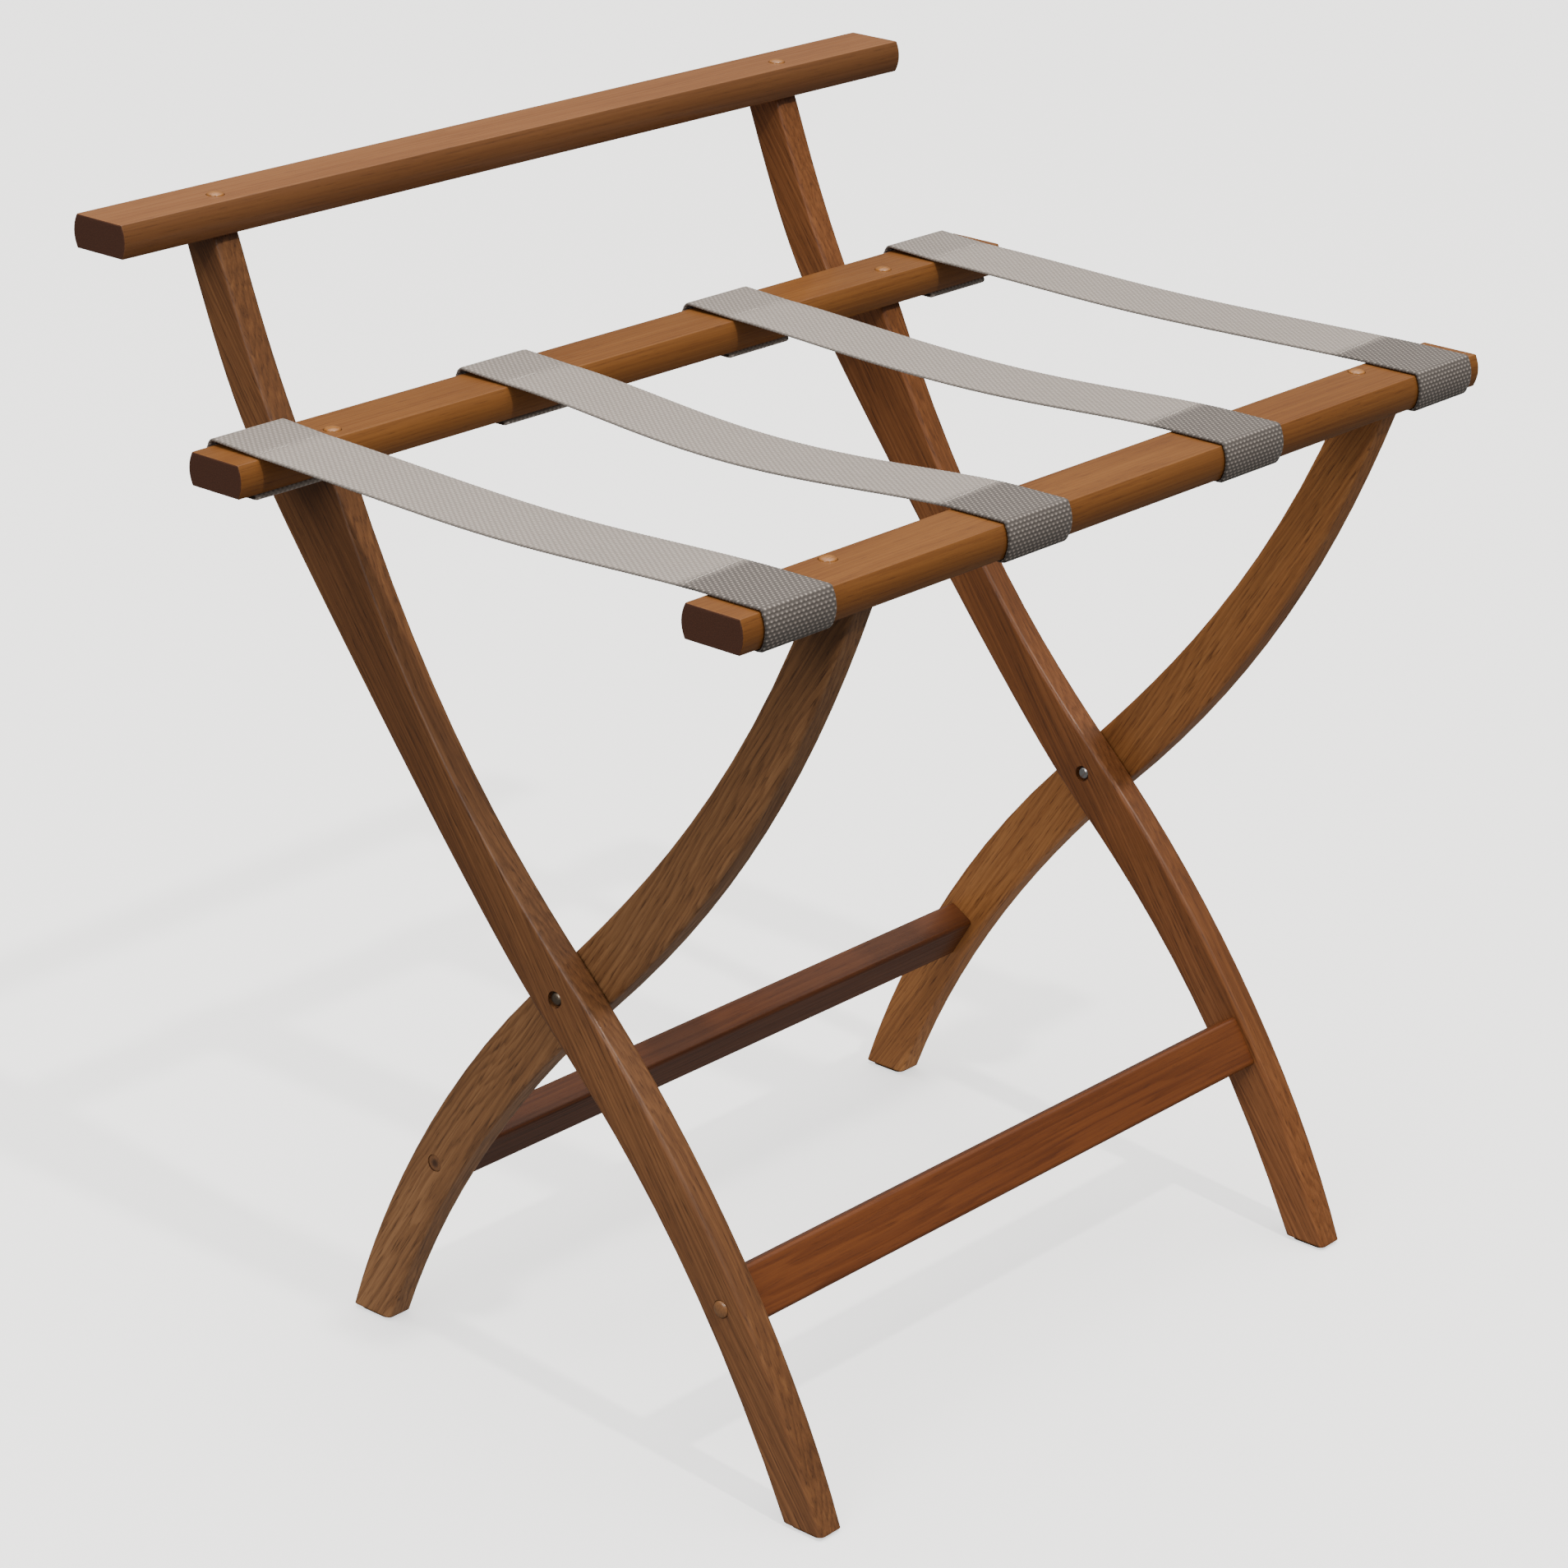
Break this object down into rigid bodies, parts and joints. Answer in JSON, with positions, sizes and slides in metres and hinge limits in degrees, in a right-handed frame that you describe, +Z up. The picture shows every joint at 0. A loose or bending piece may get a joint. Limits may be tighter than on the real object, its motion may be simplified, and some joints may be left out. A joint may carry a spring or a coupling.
{
  "type": "folding luggage rack",
  "caption": "Folding wooden luggage rack with S-curved crossed legs, a raised rear bar and webbing straps stretched between two seat rails.",
  "frame": {"origin": "centre of the bounding box at floor level, under the glides, with the rack fully open", "axes": "+X along the rails to the right as seen from the low front, +Y towards the rear with the raised bar, +Z up"},
  "size_m": [0.61, 0.4579, 0.6131],
  "materials": {
    "oak": "stained oak, satin lacquer",
    "beech": "stained close-grained hardwood, satin lacquer",
    "button": "light turned button, satin",
    "button_dark": "stained flush plug, satin",
    "webbing": "close-woven flat webbing",
    "pin_steel": "bright plated, domed",
    "steel": "zinc plated",
    "nylon": "matt",
    "felt": "matt glide pad"
  },
  "bodies": {
    "back_frame": {"top_bar": "beech", "rear_seat_rail": "beech", "front_stretcher": "beech", "long_leg_left": "oak", "long_leg_right": "oak", "screw_top_left": "steel", "plug_top_left": "button", "screw_top_right": "steel", "plug_top_right": "button", "screw_rear_rail_left": "steel", "plug_rear_rail_left": "button", "screw_rear_rail_right": "steel", "plug_rear_rail_right": "button", "screw_front_stretcher_left": "steel", "plug_front_stretcher_left": "button", "screw_front_stretcher_right": "steel", "plug_front_stretcher_right": "button_dark", "pivot_pin_left": "pin_steel", "pivot_cap_left": "pin_steel", "glide_front_left": "felt", "pivot_pin_right": "pin_steel", "pivot_cap_right": "pin_steel", "glide_front_right": "felt", "strap_1": "webbing", "strap_2": "webbing", "strap_3": "webbing", "strap_4": "webbing", "staple_1_rear": "steel", "staple_2_rear": "steel", "staple_3_rear": "steel", "staple_4_rear": "steel"},
    "front_frame": {"front_seat_rail": "beech", "rear_stretcher": "beech", "short_leg_left": "oak", "pivot_washer_left": "nylon", "glide_rear_left": "felt", "short_leg_right": "oak", "pivot_washer_right": "nylon", "glide_rear_right": "felt", "screw_front_rail_left": "steel", "plug_front_rail_left": "button", "screw_front_rail_right": "steel", "plug_front_rail_right": "button", "screw_rear_stretcher_left": "steel", "plug_rear_stretcher_left": "button_dark", "screw_rear_stretcher_right": "steel", "plug_rear_stretcher_right": "button", "staple_1_front": "steel", "staple_2_front": "steel", "staple_3_front": "steel", "staple_4_front": "steel"}
  },
  "joints": [
    {"name": "fold", "type": "hinge", "parent": "back_frame", "child": "front_frame", "pos_m": [0, -0.0436, 0.2406], "axis": [-1, 0, 0], "range_deg": [0, 57], "deforming": ["strap_1", "strap_2", "strap_3", "strap_4"]}
  ]
}
